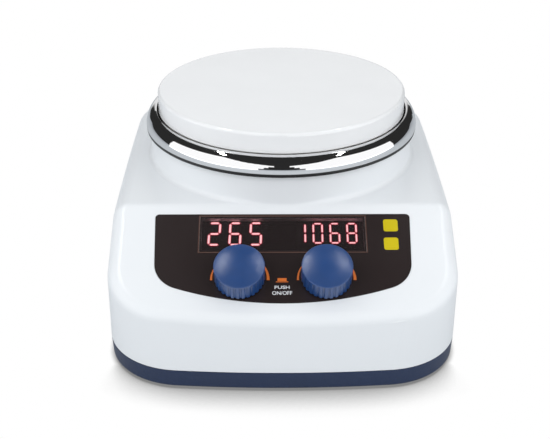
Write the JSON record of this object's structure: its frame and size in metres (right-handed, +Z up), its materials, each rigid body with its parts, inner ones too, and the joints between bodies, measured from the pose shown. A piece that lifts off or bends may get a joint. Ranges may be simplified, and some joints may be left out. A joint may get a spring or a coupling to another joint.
{
  "type": "magnetic stirrer",
  "caption": "Bench magnetic stirrer with a round heated plate, polished trim ring, sloped control panel with digital readouts and push-and-turn knobs.",
  "frame": {"origin": "on the bench under the centre of the body", "axes": "+Z up, -Y towards the user and the control panel, +X to the user's right"},
  "size_m": [0.1772, 0.22, 0.11],
  "materials": {
    "white_housing": "gloss",
    "navy_base": "satin",
    "plate_ceramic": "smooth ceramic coating",
    "ring_chrome": "polished",
    "panel_film": "gloss",
    "window_smoke": "gloss",
    "knob_blue": "fine matt",
    "black_plastic": "satin",
    "foot_rubber": "matt",
    "plated_steel": "satin",
    "brass": "satin",
    "board_green": "satin",
    "mica": "layered mica",
    "insulation": "felted ceramic fibre",
    "ceramic_spacer": "matt",
    "magnet_nickel": "bright nickel",
    "cast_alloy": "satin",
    "core_steel": "laminated",
    "copper_coil": "enamelled copper wire",
    "digit_module": "matt",
    "relay_blue": "satin",
    "grey_cable": "satin",
    "fuse_glass": "clear"
  },
  "bodies": {
    "stirrer_body": {"upper_housing": "white_housing", "base_tray": "navy_base", "rubber_feet": "foot_rubber", "base_screws": "plated_steel", "work_plate": "plate_ceramic", "trim_ring": "ring_chrome", "heat_shield": "plated_steel", "insulation_pad": "insulation", "heater_element": "mica", "heater_clamp": "plated_steel", "clamp_screws": "plated_steel", "plate_standoffs": "ceramic_spacer", "plate_screws": "plated_steel", "plate_sensor": "plated_steel", "thermal_cutoff": "black_plastic", "motor_bearings": "plated_steel", "motor_stator": "core_steel", "motor_windings": "copper_coil", "motor_can": "cast_alloy", "motor_end_cap": "cast_alloy", "motor_bracket": "plated_steel", "bracket_pillars": "plated_steel", "pillar_grommets": "foot_rubber", "motor_screws": "plated_steel", "panel_overlay": "panel_film", "display_window": "window_smoke", "heat_digits": "digit_module", "stir_digits": "digit_module", "display_board": "board_green", "encoder_nuts": "plated_steel", "board_screws": "plated_steel", "power_board": "board_green", "transformer": "core_steel", "capacitors": "black_plastic", "relay": "relay_blue", "heat_sink": "cast_alloy", "ribbon_connectors": "black_plastic", "ribbon_cable": "grey_cable", "power_inlet": "black_plastic", "inlet_pins": "brass", "rocker_frame": "black_plastic", "probe_socket": "black_plastic", "rod_socket": "plated_steel", "rod_nut": "plated_steel", "heat_encoder": "black_plastic", "stir_encoder": "black_plastic"},
    "heat_press": {"heat_plunger": "cast_alloy"},
    "heat_dial": {"heat_shaft": "cast_alloy", "heat_knob": "knob_blue"},
    "stir_press": {"stir_plunger": "cast_alloy"},
    "stir_dial": {"stir_shaft": "cast_alloy", "stir_knob": "knob_blue"},
    "magnet_drive": {"motor_shaft": "plated_steel", "rotor_core": "core_steel", "magnet_carrier": "cast_alloy", "drive_magnets": "magnet_nickel", "carrier_screw": "plated_steel"},
    "mains_rocker": {"rocker_switch": "black_plastic"},
    "fuse_tray": {"fuse_drawer": "black_plastic", "fuse": "fuse_glass"}
  },
  "joints": [
    {"name": "heat_push", "type": "slide", "parent": "stirrer_body", "child": "heat_press", "axis": [0, 0.4726, -0.8813], "range_m": [0, 0.0008], "stiffness_N_per_m": 1500, "springref_m": -0.0008},
    {"name": "heat_turn", "type": "hinge", "parent": "heat_press", "child": "heat_dial", "pos_m": [-0.021, -0.08928, 0.05221], "axis": [0, -0.4726, 0.8813], "continuous": true},
    {"name": "stir_push", "type": "slide", "parent": "stirrer_body", "child": "stir_press", "axis": [0, 0.4726, -0.8813], "range_m": [0, 0.0008], "stiffness_N_per_m": 1500, "springref_m": -0.0008},
    {"name": "stir_turn", "type": "hinge", "parent": "stir_press", "child": "stir_dial", "pos_m": [0.021, -0.08928, 0.05221], "axis": [0, -0.4726, 0.8813], "continuous": true},
    {"name": "magnet_spin", "type": "hinge", "parent": "stirrer_body", "child": "magnet_drive", "pos_m": [0, 0.02, 0.08], "axis": [0, 0, 1], "continuous": true},
    {"name": "mains_rock", "type": "hinge", "parent": "stirrer_body", "child": "mains_rocker", "pos_m": [0.009, 0.1034, 0.037], "axis": [1, 0, 0], "range_deg": [0, 12]},
    {"name": "fuse_slide", "type": "slide", "parent": "stirrer_body", "child": "fuse_tray", "axis": [0, 1, 0], "range_m": [0, 0.016]}
  ]
}
